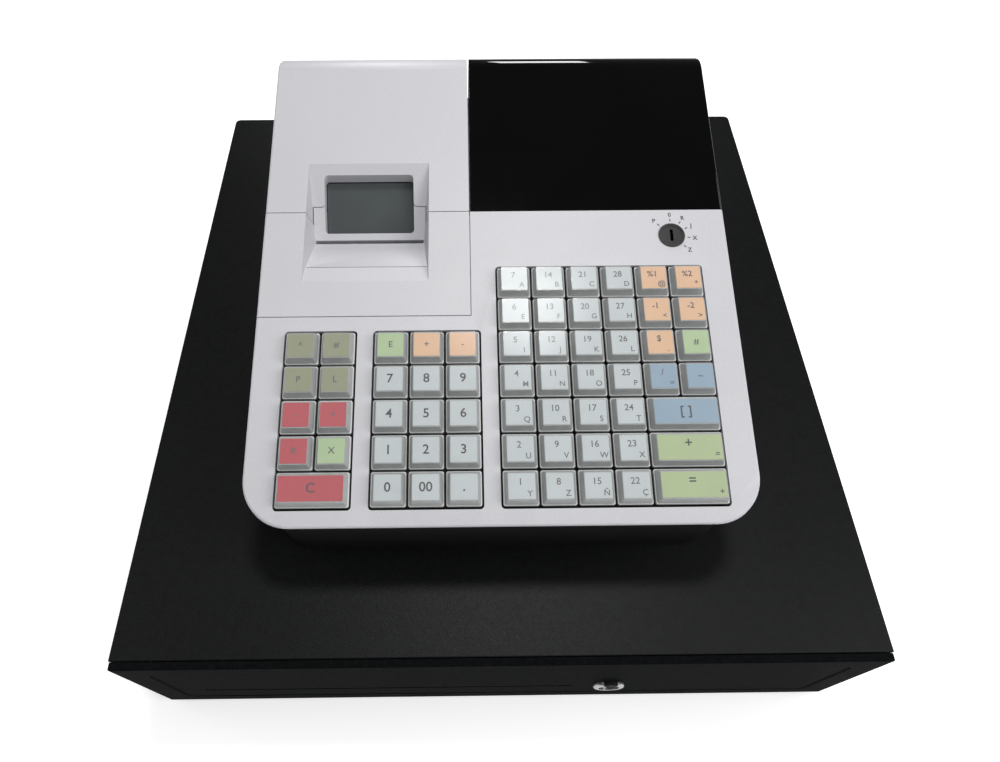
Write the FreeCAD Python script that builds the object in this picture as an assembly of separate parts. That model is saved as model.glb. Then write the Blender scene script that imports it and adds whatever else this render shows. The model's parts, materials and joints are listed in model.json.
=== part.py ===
import FreeCAD, Part
import math
import os

# Electronic cash register: a small till unit with a sloping keyboard deck, standing on a
# wide steel cash drawer.  Millimetres.  X is to the operator's right, Y runs from the
# operator to the back, Z is up.  The origin is on the standing surface, within 2 mm of the
# point under the middle of the bounding box.

V = FreeCAD.Vector
AXIS_X, AXIS_Y, AXIS_Z = V(1, 0, 0), V(0, 1, 0), V(0, 0, 1)

# ---------------------------------------------------------------- driving dimensions
CASE_W, CASE_D, CASE_H = 410.0, 430.0, 96.0     # drawer case without its feet
FOOT_H = 5.0
SHEET = 1.2                                     # steel sheet of case and drawer
CASE_FRONT_Y = -210.0
CASE_BACK_Y = CASE_FRONT_Y + CASE_D
CASE_TOP_Z = FOOT_H + CASE_H
CASE_EDGE_R = 0.6                               # fold radius round the case's top

PANEL_FACE_Y = CASE_FRONT_Y - 4.5               # front face of the drawer panel
PANEL_THICK = 4.1
PANEL_HALF_W = CASE_W / 2 - 0.7
PANEL_EDGE_R = 0.8
GROOVE_WIDTH, GROOVE_DEPTH = 3.4, 2.2           # groove down the sides and along the foot
LOCK_FACE_Y = PANEL_FACE_Y - 2.3                # front of the drawer lock's ring
LOCK_X, LOCK_Z, LOCK_R = 64.6, 43.0, 9.0

DECK_ANGLE = 13.25                              # slope of the keyboard deck, degrees
DECK_FRONT_Y, DECK_FRONT_Z = -158.5, 154.4      # front edge of the deck
UNIT_HALF_W = 131.0
UNIT_BACK_Y = 135.5
ROLL_R = 18.0                                   # radius that turns the deck into the back
FRONT_CORNER_R, BACK_CORNER_R = 24.5, 16.0      # corners of the unit seen from above
WALL = 2.5                                      # moulded wall of the unit
PARTING_FRONT_Z, PARTING_BACK_Z = 152.6, 165.0  # line where cover and base meet
LEDGE_INSET, LEDGE_THICK = 0.8, 1.8             # base's ledge that closes the cover from below
SEAM = 0.5                                      # gap between neighbouring covers

KEY_PITCH = 19.05
KEY_BASE, KEY_TOP, KEY_RISE = 18.2, 14.4, 6.0   # foot width, top width, height over deck
KEY_SKIRT = 1.5                                 # how far a cap reaches below the deck
KEY_TRAVEL = 3.5
STEM = 5.0
STEM_END = 12.5                                 # stem's lower end, below the deck
FRONT_ROW_S = 18.5                              # front key row's centre, up the deck
BANK_MARGIN = (0.5, 0.8)                        # cut-out outside the key grid, across and up

PRINTER_RIGHT_X = -14.0                         # seam between printer side and the rest
PRINTER_SEAM_S = 113.6                          # printer cover's front seam, up the deck
LID_SEAM_S = 178.7                              # seam between printer cover and lid
SKIRT_Z = 182.5                                 # lower edge of lid and display panel
RIM_R = 1.2                                     # rounding round the deck's rim
RIM_TRIM = 0.05                                 # taken off the uprights to end the rounding
RECESS_X = (-107.8, -37.6)                      # paper recess, at the deck
RECESS_PROFILE = ((211.4, 0.0), (169.3, -18.0), (146.1, -4.4), (134.7, 0.0))
RECESS_DRAFT = (0.14, 0.2)                      # lean of its left and right walls
CREASE_WIDTH, CREASE_DEPTH = 0.5, 0.5           # line across the recess at its lower bend
LINER_DROP = 7.0                                # wall thickness under the recess, upright
SLOT_S = (168.2, 170.6)                         # paper slot, up the deck
SLOT_X = (-105.1, -41.4)
WINDOW_X = (-99.2, -46.9)                       # opening over the paper window
WINDOW_ALONG = (5.4, 39.2)                      # the same, up the recess from the slot
NOTCH_S = 188.5                                 # printer cover's tongue inside the recess
TONGUE_INSET = (1.9, 2.4)                       # its sides, in from the recess's edges
NOTCH_R = 2.0                                   # lid's corners beside the window
WEB_END_N = -24.0                               # paper's free end, below the slot's mouth
PANE_GAP, PANE_THICK, PANE_MARGIN = 6.8, 1.5, 2.5   # pane below the floor, past the opening
PANE_ALONG = (WINDOW_ALONG[0] - 2.8, WINDOW_ALONG[1] + 1.8)

MODE_X, MODE_S, MODE_R = 100.0, 161.9, 7.45     # mode lock
HINGE_R = 3.5
HINGE_Y, HINGE_Z = UNIT_BACK_Y - HINGE_R, SKIRT_Z + HINGE_R
HINGE_SWING_R = 5.3                             # room for the lid's lower edge as it turns

ROLL_Y, ROLL_Z, PAPER_R, PAPER_W = 82.0, 150.0, 33.0, 57.0
PLATEN_S, PLATEN_N, PLATEN_R = 174.9, -34.0, 5.0
PAPER_GUIDE = (33.0, 156.5)                     # where the paper leaves the roll's bay
BAY_X = (-108.0, -37.5)                         # walls round the paper roll
SCREWS = ((-112.0, -134.0, 140.0), (112.0, -134.0, 140.0), (-116.0, 20.0, 148.0), (116.0, 112.0, 155.0))

RAIL_Z, RAIL_H = 50.0, 38.0                     # drawer slides
BOX_HALF_W = 190.5
BOX_BACK_Y = 175.0
BOX_FLOOR_Z = 9.0
BALL_R = 2.2
TRAY_BOTTOM_Z, TRAY_TOP_Z = 10.5, 72.0
WELLS = 4                                       # columns of notes and of coins
WELL_GAP = 3.0
CLIP_PIVOT_Y, CLIP_PIVOT_Z = 158.0, 60.0
CLIP_LENGTH, CLIP_DROOP = 66.0, 25.0            # arm length, rest angle below level
RUNNING = 0.05                                  # radial clearance of a turning pin
SCREW_R = 1.6

SLOPE = math.radians(DECK_ANGLE)
DECK = FreeCAD.Placement(V(0, DECK_FRONT_Y, DECK_FRONT_Z), FreeCAD.Rotation(AXIS_X, DECK_ANGLE))
ROLL_CENTRE_Y = UNIT_BACK_Y - ROLL_R
ROLL_CENTRE_Z = (DECK_FRONT_Z + (ROLL_CENTRE_Y - DECK_FRONT_Y) * math.tan(SLOPE)
                 - ROLL_R / math.cos(SLOPE))


# ---------------------------------------------------------------- helpers
def box(x, y, z):
    """Box from three (low, high) pairs."""
    return Part.makeBox(x[1] - x[0], y[1] - y[0], z[1] - z[0], V(x[0], y[0], z[0]))


def cylinder(radius, start, end):
    axis = end - start
    return Part.makeCylinder(radius, axis.Length, start, axis)


def tube(outer, inner, start, end):
    return cylinder(outer, start, end).cut(cylinder(inner, start, end))


def on_deck(shape):
    """Moves a shape drawn as (x, distance up the deck, height over it) into place."""
    moved = shape.copy()
    moved.Placement = DECK.multiply(moved.Placement)
    return moved


def mirror_x(shape):
    return shape.mirror(V(0, 0, 0), AXIS_X)


def fuse(shapes):
    first, *rest = shapes
    return first.fuse(rest).removeSplitter() if rest else first


def rounded_wire(x, y, z, radii):
    """Rectangle with its own corner radius at the front pair and at the back pair."""
    front, back = radii
    (x0, x1), (y0, y1) = x, y
    corners = ((x0, y0, front, 180), (x1, y0, front, 270), (x1, y1, back, 0), (x0, y1, back, 90))
    points = []
    for cx, cy, radius, start in corners:
        ox = cx + radius if cx == x0 else cx - radius
        oy = cy + radius if cy == y0 else cy - radius
        turn = [math.radians(start + step) for step in (0, 45, 90)]
        points.append([V(ox + radius * math.cos(a), oy + radius * math.sin(a), z) for a in turn])
    edges = []
    for index, arc in enumerate(points):
        edges.append(Part.Arc(*arc).toShape())
        edges.append(Part.makeLine(arc[2], points[(index + 1) % 4][0]))
    return Part.Wire(edges)


def rounded_prism(x, y, z, radii):
    face = Part.Face(rounded_wire(x, y, z[0], radii))
    return face.extrude(V(0, 0, z[1] - z[0]))


def prism_x(points, x):
    """Extrudes a closed outline of (y, z) points along X."""
    outline = [V(x[0], y, z) for y, z in points]
    face = Part.Face(Part.makePolygon(outline + outline[:1]))
    return face.extrude(V(x[1] - x[0], 0, 0))


def key_row_s(row_from_front):
    return FRONT_ROW_S + KEY_PITCH * row_from_front


# ---------------------------------------------------------------- till unit's outer form
def unit_solid(inset):
    """The till unit's closed outer form, with every face moved inwards by inset."""
    low_z = CASE_TOP_Z - 10
    radius = ROLL_R - inset
    front_y = DECK_FRONT_Y + inset
    back_y = UNIT_BACK_Y - inset
    front_top = V(0, front_y, DECK_FRONT_Z + inset * math.tan(SLOPE) - inset / math.cos(SLOPE))
    centre = V(0, ROLL_CENTRE_Y, ROLL_CENTRE_Z)
    arc_angles = (90 + DECK_ANGLE, 45 + DECK_ANGLE / 2, 0)
    turn = [centre + V(0, radius * math.cos(math.radians(a)), radius * math.sin(math.radians(a)))
            for a in arc_angles]
    outline = [Part.makeLine(V(0, front_y, low_z), front_top),
               Part.makeLine(front_top, turn[0]),
               Part.Arc(*turn).toShape(),
               Part.makeLine(turn[2], V(0, back_y, low_z)),
               Part.makeLine(V(0, back_y, low_z), V(0, front_y, low_z))]
    half = UNIT_HALF_W - inset
    side = Part.Face(Part.Wire(outline))
    side.translate(V(-half, 0, 0))
    return side.extrude(V(2 * half, 0, 0)).common(unit_plan(inset))


def unit_plan(inset):
    """The unit's outline seen from above, as an upright prism."""
    half = UNIT_HALF_W - inset
    return rounded_prism((-half, half), (DECK_FRONT_Y + inset, UNIT_BACK_Y - inset),
                         (CASE_TOP_Z - 10, 240), (FRONT_CORNER_R - inset, BACK_CORNER_R - inset))


def soften_rim(solid, radius):
    """Rounds the rim where the deck and the roll meet the upright sides."""
    rim = []
    for edge in solid.Edges:
        middle = edge.valueAt((edge.FirstParameter + edge.LastParameter) / 2)
        upright = all(abs(v.X - edge.Vertexes[0].X) < 0.1 and abs(v.Y - edge.Vertexes[0].Y) < 0.1
                      for v in edge.Vertexes)
        faces = solid.ancestorsOfType(edge, Part.Face)
        normals = [f.normalAt(*f.Surface.parameter(middle)) for f in faces]
        sharp = len(normals) == 2 and normals[0].getAngle(normals[1]) > math.radians(30)
        if sharp and not upright and middle.z > PARTING_FRONT_Z:
            rim.append(edge)
    return solid.makeFillet(radius, rim)


def above_parting(height=0.0):
    """Everything above the line where cover and base meet."""
    y0, y1 = DECK_FRONT_Y, UNIT_BACK_Y
    rise = (PARTING_BACK_Z - PARTING_FRONT_Z) / (y1 - y0)
    start, end = y0 - 20, y1 + 20
    outline = [(start, PARTING_FRONT_Z - 20 * rise + height), (end, PARTING_BACK_Z + 20 * rise + height),
               (end, 250), (start, 250)]
    return prism_x(outline, (-UNIT_HALF_W - 20, UNIT_HALF_W + 20))


def deck_region(x, s, n=(-300, 60)):
    return on_deck(box(x, s, n))


def recess_cavity():
    """Valley-shaped paper recess with drafted side walls, as one convex-sided solid."""
    def section(side):
        lean = (1 if side == 0 else -1) * RECESS_DRAFT[side]
        return [V(RECESS_X[side] - lean * n, s, n) for s, n in RECESS_PROFILE]
    left, right = section(0), section(1)
    count = len(left)
    faces = [Part.Face(Part.makePolygon(left + left[:1])), Part.Face(Part.makePolygon(right + right[:1]))]
    for i in range(count):
        j = (i + 1) % count
        faces.append(Part.Face(Part.makePolygon([left[i], left[j], right[j], right[i], left[i]])))
    valley = Part.makeSolid(Part.makeShell(faces))
    if valley.Volume < 0:
        valley.reverse()
    above = box(RECESS_X, (RECESS_PROFILE[3][0], RECESS_PROFILE[0][0]), (0, 5))
    bend_s, bend_n = RECESS_PROFILE[2]
    crease = box((RECESS_X[0] + 1, RECESS_X[1] - 1), (bend_s - CREASE_WIDTH, bend_s),
                 (bend_n - CREASE_DEPTH, 0))
    return valley.fuse([above, crease])


def recess_liner():
    """Thick floor that carries the recess, before the recess is cut from it."""
    rim = 4.0
    top_s, low_s = RECESS_PROFILE[0][0] + rim, RECESS_PROFILE[3][0] - rim
    outline = [(top_s, -0.2), (top_s, -LINER_DROP)]
    outline += [(s, n - LINER_DROP) for s, n in RECESS_PROFILE]
    outline += [(low_s, -LINER_DROP), (low_s, -0.2)]
    return prism_x(outline, (RECESS_X[0] - 3, RECESS_X[1] + 3))


def along_recess(distance, depth=0.0):
    """Point (s, n) up the upper recess floor from the slot, and below that floor."""
    (s1, n1), (s0, n0) = RECESS_PROFILE[0], RECESS_PROFILE[1]
    length = math.hypot(s1 - s0, n1 - n0)
    us, un = (s1 - s0) / length, (n1 - n0) / length
    return (s0 + us * distance + un * depth, n0 + un * distance - us * depth)


def window_cut():
    s_low, s_high = along_recess(WINDOW_ALONG[0])[0], along_recess(WINDOW_ALONG[1])[0]
    return rounded_prism(WINDOW_X, (s_low, s_high), (-60, 10), (2.2, 2.2))


def slot_cut():
    return box(SLOT_X, SLOT_S, (-60, 5))


def printer_side_region():
    """Plan split of the printer side: (printer cover's part, lid's part)."""
    big = UNIT_HALF_W + 10
    half = SEAM / 2
    x_all = (-big, PRINTER_RIGHT_X - SEAM)
    tongue_x = (RECESS_X[0] + TONGUE_INSET[0], RECESS_X[1] - TONGUE_INSET[1])
    cover = box(x_all, (PRINTER_SEAM_S + half, LID_SEAM_S - half), (-80, 60))
    cover = cover.fuse(box(tongue_x, (LID_SEAM_S - 5, NOTCH_S - half), (-80, 60)))
    lid = box(x_all, (LID_SEAM_S + half, 400), (-300, 60))
    lid = lid.cut(box((tongue_x[0] - SEAM, tongue_x[1] + SEAM), (0, NOTCH_S + half), (-80, 60)))
    for edge_x, outward in zip(WINDOW_X, (-1, 1)):
        centre = V(edge_x + outward * NOTCH_R, NOTCH_S + half + NOTCH_R, 0)
        for radius, reach in ((NOTCH_R, NOTCH_R), (NOTCH_R + SEAM, NOTCH_R - 0.5)):
            x = sorted((edge_x - outward, edge_x + outward * reach))
            corner = box(x, (NOTCH_S - SEAM, centre.y), (-80, 60))
            corner = corner.cut(cylinder(radius, V(centre.x, centre.y, -90), V(centre.x, centre.y, 70)))
            if radius == NOTCH_R:
                lid = lid.cut(corner)
            else:
                cover = cover.fuse(corner)
    return on_deck(cover), on_deck(lid)


SHELL_CACHE = {}


def unit_shell():
    if "shell" not in SHELL_CACHE:
        # The rounding dies out where the roll turns into the back; the trim gives it an end.
        outer = soften_rim(unit_solid(0), RIM_R).common(unit_plan(RIM_TRIM))
        SHELL_CACHE["shell"] = outer.cut(unit_solid(WALL)).common(above_parting())
    return SHELL_CACHE["shell"]


def below_deck_limit(depth):
    return on_deck(box((-200, 200), (-50, 400), (-depth, 60)))


def above_level(z):
    return box((-200, 200), (-250, 250), (z, 260))


def cover_skirt_depth():
    """Depth of the printer cover's side, so that its lower edge meets the lid's."""
    seam_z = DECK_FRONT_Z + LID_SEAM_S * math.sin(SLOPE)
    return (seam_z - SKIRT_Z) / math.cos(SLOPE)


# ---------------------------------------------------------------- key banks
LEFT_COLUMNS = (-11, -9)                # columns in half pitches from the middle
MIDDLE_COLUMNS = (-6, -4, -2)
RIGHT_COLUMNS = (1, 3, 5, 7, 9, 11)
BANKS = ((LEFT_COLUMNS, 5), (MIDDLE_COLUMNS, 5), (RIGHT_COLUMNS, 7))


def column_x(half_pitches):
    return half_pitches * KEY_PITCH / 2


def bank_cut(columns, rows, n):
    across, up = BANK_MARGIN
    x = (column_x(columns[0] - 1) - across, column_x(columns[-1] + 1) + across)
    s = (key_row_s(-0.5) - up, key_row_s(rows - 0.5) + up)
    return rounded_prism(x, s, n, (2.0, 2.0))


def key(columns, row):
    """One key: a tapered cap over one or two grid places, with a stem under each."""
    x = sum(column_x(c) for c in columns) / len(columns)
    s = key_row_s(row)
    extra = KEY_PITCH * (len(columns) - 1)

    def ring(width, n, radius):
        half_x, half_s = (width + extra) / 2, width / 2
        return rounded_wire((x - half_x, x + half_x), (s - half_s, s + half_s), n, (radius, radius))

    cap = Part.makeLoft([ring(KEY_BASE, -KEY_SKIRT, 1.2), ring(KEY_TOP, KEY_RISE, 0.8)], True, True)
    half = STEM / 2
    stems = [box((column_x(c) - half, column_x(c) + half), (s - half, s + half),
                 (-STEM_END, -KEY_SKIRT + 0.5)) for c in columns]
    return on_deck(fuse([cap] + stems))


def key_column(columns, rows):
    return Part.makeCompound([key((c,), r) for c in columns for r in rows])


DIGIT_KEYS = {"key_0": (-6, 0), "key_00": (-4, 0), "key_point": (-2, 0)}
for digit in range(1, 10):
    DIGIT_KEYS["key_%d" % digit] = (MIDDLE_COLUMNS[(digit - 1) % 3], 1 + (digit - 1) // 3)
WIDE_KEYS = {"key_clear": (LEFT_COLUMNS, 0), "key_total": ((9, 11), 0),
             "key_subtotal": ((9, 11), 1), "key_card": ((9, 11), 2)}


def make_keys():
    keys = {name: key((column,), row) for name, (column, row) in DIGIT_KEYS.items()}
    keys.update({name: key(columns, row) for name, (columns, row) in WIDE_KEYS.items()})
    keys["keys_left_functions"] = key_column(LEFT_COLUMNS, range(1, 5))
    keys["keys_over_digits"] = key_column(MIDDLE_COLUMNS, (4,))
    keys["keys_right_functions"] = key_column(RIGHT_COLUMNS[4:], range(3, 7))
    for number, column in enumerate(RIGHT_COLUMNS[:4], start=1):
        keys["keys_department_%d" % number] = key_column((column,), range(7))
    return keys


def make_keyboard_plate():
    """Guide plate with a square hole for every stem, and the contact board under it."""
    left = rounded_prism((-120, 120), (8.5, 107), (-8, -6), (14, 0.5))
    right = box((-8, 120), (104, 143), (-8, -6))
    plate = left.fuse(right).removeSplitter()
    half = STEM / 2 + 0.2
    holes = []
    for columns, rows in BANKS:
        for column in columns:
            for row in range(rows):
                x, s = column_x(column), key_row_s(row)
                holes.append(box((x - half, x + half), (s - half, s + half), (-9, -5)))
    plate = plate.cut(holes)
    board = rounded_prism((-118, 118), (10, 106), (-18.5, -17), (12, 0.5))
    board = board.fuse(box((-6, 118), (103, 142), (-18.5, -17)))
    posts = [cylinder(2.5, V(x, s, -17), V(x, s, -8))
             for x, s in ((-71.4, 30), (-71.4, 90), (-4.8, 30), (-4.8, 90), (116.5, 60), (116.5, 125))]
    return Part.makeCompound([on_deck(fuse([plate] + posts)), on_deck(board.removeSplitter())])


# ---------------------------------------------------------------- till unit's covers
def make_top_cover():
    big = UNIT_HALF_W + 10
    half = SEAM / 2
    skirt = cover_skirt_depth()
    printer = deck_region((-big, PRINTER_RIGHT_X), (PRINTER_SEAM_S - half, LID_SEAM_S + 2),
                          (-skirt - SEAM, 60))
    behind = deck_region((-big, big), (LID_SEAM_S - half, 400))
    behind = behind.common(above_level(SKIRT_Z - SEAM))
    cover = unit_shell().cut([printer, behind])
    for columns, rows in BANKS:
        cover = cover.cut(on_deck(bank_cut(columns, rows, (-10, 10))))
    cover = cover.cut(on_deck(cylinder(MODE_R + RUNNING, V(MODE_X, MODE_S, -10), V(MODE_X, MODE_S, 10))))
    divider = deck_region((PRINTER_RIGHT_X - 1.5, PRINTER_RIGHT_X + 1.5), (110, 268), (-40, -WALL))
    divider = divider.common(unit_solid(WALL)).cut(deck_region((-big, 0), (177, 400), (-12, 0)))
    ears = [box(x, (HINGE_Y - 4, HINGE_Y + 2.5), (PARTING_BACK_Z + 2, HINGE_Z + 3.4))
            for x in ((-124.0, -120.0), (-21.0, -17.0))]
    pins = cylinder(1.5 + RUNNING, V(-140, HINGE_Y, HINGE_Z), V(0, HINGE_Y, HINGE_Z))
    swing = cylinder(HINGE_SWING_R, V(-119.9, HINGE_Y, HINGE_Z), V(-21.1, HINGE_Y, HINGE_Z))
    return fuse([cover, divider] + ears).cut([pins, swing]).common(unit_solid(0))


def make_printer_cover():
    cover_region, _ = printer_side_region()
    limit = below_deck_limit(cover_skirt_depth())
    skin = unit_shell().common(cover_region).common(limit)
    liner = on_deck(recess_liner()).common(cover_region)
    cuts = [on_deck(recess_cavity()), on_deck(window_cut()), on_deck(slot_cut())]
    outline = [along_recess(3, PANE_GAP - 1), along_recess(16, PANE_GAP - 1),
               along_recess(16, PANE_GAP + PANE_THICK), along_recess(3, PANE_GAP + PANE_THICK)]
    pane_x = (WINDOW_X[0] - PANE_MARGIN, WINDOW_X[1] + PANE_MARGIN)
    holders = [on_deck(prism_x(outline, x))
               for x in ((pane_x[0] - 2, pane_x[0]), (pane_x[1], pane_x[1] + 2))]
    return fuse([skin, liner] + holders).cut(cuts)


def make_paper_lid():
    _, lid_region = printer_side_region()
    skin = unit_shell().common(lid_region).common(above_level(SKIRT_Z))
    liner = on_deck(recess_liner()).common(lid_region)
    barrel = cylinder(HINGE_R, V(-119.5, HINGE_Y, HINGE_Z), V(-21.5, HINGE_Y, HINGE_Z))
    pin = cylinder(1.5, V(-123.5, HINGE_Y, HINGE_Z), V(-17.5, HINGE_Y, HINGE_Z))
    web = box((-119.5, -21.5), (HINGE_Y, UNIT_BACK_Y - 0.5), (HINGE_Z, ROLL_CENTRE_Z))
    ear_room = [box(x, (HINGE_Y - 7, UNIT_BACK_Y + 5), (SKIRT_Z - 1, HINGE_Z + 6))
                for x in ((-140, -119.5), (-21.5, -10))]
    lid = fuse([skin.cut(ear_room), liner, barrel, web, pin])
    return lid.cut([on_deck(recess_cavity()), on_deck(window_cut())])


def make_paper_window():
    """Smoked pane under the recess floor, held by the printer cover."""
    bottom = PANE_GAP + PANE_THICK
    corners = [along_recess(PANE_ALONG[0], PANE_GAP), along_recess(PANE_ALONG[1], PANE_GAP),
               along_recess(PANE_ALONG[1], bottom), along_recess(PANE_ALONG[0], bottom)]
    return on_deck(prism_x(corners, (WINDOW_X[0] - PANE_MARGIN, WINDOW_X[1] + PANE_MARGIN)))


def make_tear_blade():
    """Toothed steel strip in the front half of the paper slot."""
    s = (SLOT_S[0], SLOT_S[0] + 0.8)
    top, root, low = -17.2, -18.2, -26.0
    pitch = 1.0
    teeth = int((SLOT_X[1] - SLOT_X[0] - 0.6) / pitch)
    start = SLOT_X[0] + 0.3
    outline = [V(start, s[0], low)]
    for i in range(teeth):
        outline.append(V(start + i * pitch, s[0], root))
        outline.append(V(start + (i + 0.5) * pitch, s[0], top))
    end = start + teeth * pitch
    outline += [V(end, s[0], root), V(end, s[0], low), V(start, s[0], low)]
    return on_deck(Part.Face(Part.makePolygon(outline)).extrude(V(0, s[1] - s[0], 0)))


def make_display_window():
    """Black panel flush with the deck, over the roll and down the back."""
    region = deck_region((PRINTER_RIGHT_X + SEAM, UNIT_HALF_W + 10), (LID_SEAM_S + SEAM / 2, 400))
    return unit_shell().common(region).common(above_level(SKIRT_Z))


def make_display_boards():
    """Operator's digits under the deck and customer's digits behind the back panel."""
    operator = fuse([box((8, 112), (200, 232), (-6.5, -4.5)), box((12, 108), (206, 226), (-4.5, -3.0))])
    customer = fuse([box((12, 108), (UNIT_BACK_Y - 8, UNIT_BACK_Y - 6.5), (186, 208)),
                     box((18, 102), (UNIT_BACK_Y - 6.5, UNIT_BACK_Y - 3.2), (188, 203))])
    return Part.makeCompound([on_deck(operator), customer])


def make_base_housing():
    """Dark lower shell, narrowing a little downwards, with the paper bay inside."""
    floor_z, top_z = CASE_TOP_Z, 190.0

    def body(inset, bottom):
        low = rounded_wire((-122 + inset, 122 - inset), (-150 + inset, 128 - inset), bottom,
                           (18 - inset, 12 - inset))
        high = rounded_wire((-127.6 + inset, 127.6 - inset), (-155.2 + inset, 132.4 - inset), top_z,
                            (21 - inset, 10 - inset))
        return Part.makeLoft([low, high], True, True)

    below = box((-200, 200), (-250, 250), (90, 260)).cut(above_parting(-SEAM))
    hollow = body(WALL, floor_z + WALL)
    shell = body(0, floor_z).cut(hollow).common(below)
    ledge = unit_solid(LEDGE_INSET).common(above_parting(-SEAM - LEDGE_THICK))
    ledge = ledge.cut([above_parting(-SEAM), hollow])
    x0, x1 = BAY_X
    wall = 2.0
    inside_z = (floor_z + WALL - 0.5, 166.0)
    bay = [box((x0, x0 + wall), (36, 124), inside_z), box((x1 - wall, x1), (36, 124), inside_z),
           box((x0, x1), (36, 38), (inside_z[0], 148)), box((x0, x1), (122, 124), inside_z)]
    cradle = box((x0, x1), (52, 112), (floor_z + WALL - 0.5, 124))
    cradle = cradle.cut(cylinder(PAPER_R + 0.6, V(-130, ROLL_Y, ROLL_Z), V(0, ROLL_Y, ROLL_Z)))
    bosses = [cylinder(4, V(x, y, floor_z + 1), V(x, y, z)) for x, y, z in SCREWS]
    pilots = [cylinder(SCREW_R, V(x, y, floor_z - 1), V(x, y, floor_z + 18)) for x, y, z in SCREWS]
    vents = [box((-60 + 8 * i, -56 + 8 * i), (120, 140), (120, 146)) for i in range(7)]
    inlet = box((72, 100), (118, 140), (112, 132.5))
    return fuse([shell, ledge] + bay + [cradle] + bosses).cut(vents + [inlet] + pilots)


# ---------------------------------------------------------------- printer
def make_printer_frame():
    """Side plates, base, print head and feed motor, drawn in the deck's slope."""
    plates = [box(x, (155, 184), (-52, -27.5)) for x in ((-107.0, -104.6), (-40.8, -38.4))]
    base = box((-107.0, -38.4), (155, 184), (-54, -52))
    shaft_hole = cylinder(2.0 + RUNNING, V(-120, PLATEN_S, PLATEN_N), V(-20, PLATEN_S, PLATEN_N))
    frame = fuse(plates + [base]).cut(shaft_hole)
    head = box((-102, -44), (163.5, 168.4), (-52, -28))
    motor = fuse([cylinder(8, V(-98, 166, -64), V(-84, 166, -64)), box((-98, -84), (160, 172), (-62, -54))])
    return Part.makeCompound([on_deck(part) for part in (fuse([frame, head]), motor)])


def make_platen_roller():
    rubber = cylinder(PLATEN_R, V(-101.5, PLATEN_S, PLATEN_N), V(-44.5, PLATEN_S, PLATEN_N))
    shaft = cylinder(2.0, V(-111, PLATEN_S, PLATEN_N), V(-38.0, PLATEN_S, PLATEN_N))
    wheel = cylinder(7.0, V(-110.5, PLATEN_S, PLATEN_N), V(-107.5, PLATEN_S, PLATEN_N))
    teeth = [box((-110.5, -107.5), (6.8, 7.9), (-0.6, 0.6)) for _ in range(24)]
    for index, tooth in enumerate(teeth):
        tooth.rotate(V(0, 0, 0), AXIS_X, index * 360 / len(teeth))
        tooth.translate(V(0, PLATEN_S, PLATEN_N))
    return on_deck(fuse([rubber, shaft, wheel] + teeth))


def make_paper_roll():
    mid_x = (BAY_X[0] + BAY_X[1]) / 2
    left, right = V(mid_x - PAPER_W / 2, ROLL_Y, ROLL_Z), V(mid_x + PAPER_W / 2, ROLL_Y, ROLL_Z)
    return Part.makeCompound([tube(PAPER_R, 7.5, left, right), tube(7.5, 6.0, left, right)])


def make_paper_web():
    """Paper from the roll, under the platen, up past the print head to the slot."""
    thick = 0.3
    gy, gz = PAPER_GUIDE
    reach = math.hypot(ROLL_Y - gy, ROLL_Z - gz)
    radius = PAPER_R + 0.8
    rise = math.atan2(ROLL_Z - gz, ROLL_Y - gy) + math.asin(radius / reach)
    run = math.sqrt(reach ** 2 - radius ** 2)
    start = (gy + run * math.cos(rise), gz + run * math.sin(rise))
    on_slope = [DECK.multVec(V(0, s, n)) for s, n in
                ((PLATEN_S, PLATEN_N - PLATEN_R - 0.9), (SLOT_S[0] + 0.9, PLATEN_N - 3.5),
                 (SLOT_S[0] + 1.4, WEB_END_N))]
    line = [start, PAPER_GUIDE] + [(p.y, p.z) for p in on_slope]
    back = [(y - thick, z - thick) for y, z in reversed(line)]
    mid_x = (BAY_X[0] + BAY_X[1]) / 2
    return prism_x(line + back, (mid_x - PAPER_W / 2 + 0.5, mid_x + PAPER_W / 2 - 0.5))


# ---------------------------------------------------------------- electronics and mode lock
def make_main_board():
    z = CASE_TOP_Z + WALL + 4
    board = box((-20, 100), (-120, 60), (z, z + 1.6))
    pillars = [cylinder(3, V(x, y, CASE_TOP_Z + WALL), V(x, y, z))
               for x in (-14, 94) for y in (-114, 54)]
    chips = [box((10, 38), (-60, -32), (z + 1.6, z + 4)), box((50, 74), (-20, -4), (z + 1.6, z + 4)),
             box((-14, 60), (40, 50), (z + 1.6, z + 10))]
    return fuse([board] + pillars + chips)


def make_power_supply():
    z = CASE_TOP_Z + WALL
    foot = box((40, 112), (72, 106), (z, z + 2))
    core = box((50, 98), (74, 104), (z + 2, z + 42))
    winding = box((57, 91), (71, 107), (z + 10, z + 34))
    return fuse([foot, core, winding])


def make_power_inlet():
    """Mains socket in the base's back wall, with a flange outside and three pins."""
    flange = box((70, 102), (131.6, 134.0), (110, 134.5))
    flange = flange.fuse(box((72.2, 99.8), (112, 131.6), (112.2, 132.3)))
    flange = flange.cut(box((74.5, 97.5), (115, 140), (114.5, 130)))
    pins = [box((x - 1, x + 1), (114, 127), (z - 2, z + 2)) for x, z in ((79, 120), (93, 120), (86, 125))]
    return fuse([flange] + pins)


def make_mode_lock_collar():
    sleeve = tube(MODE_R, 6.0 + RUNNING, V(MODE_X, MODE_S, -20), V(MODE_X, MODE_S, 0.6))
    nut = tube(10.0, MODE_R - 0.1, V(MODE_X, MODE_S, -5.5), V(MODE_X, MODE_S, -WALL))
    return on_deck(fuse([sleeve, nut]))


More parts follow.
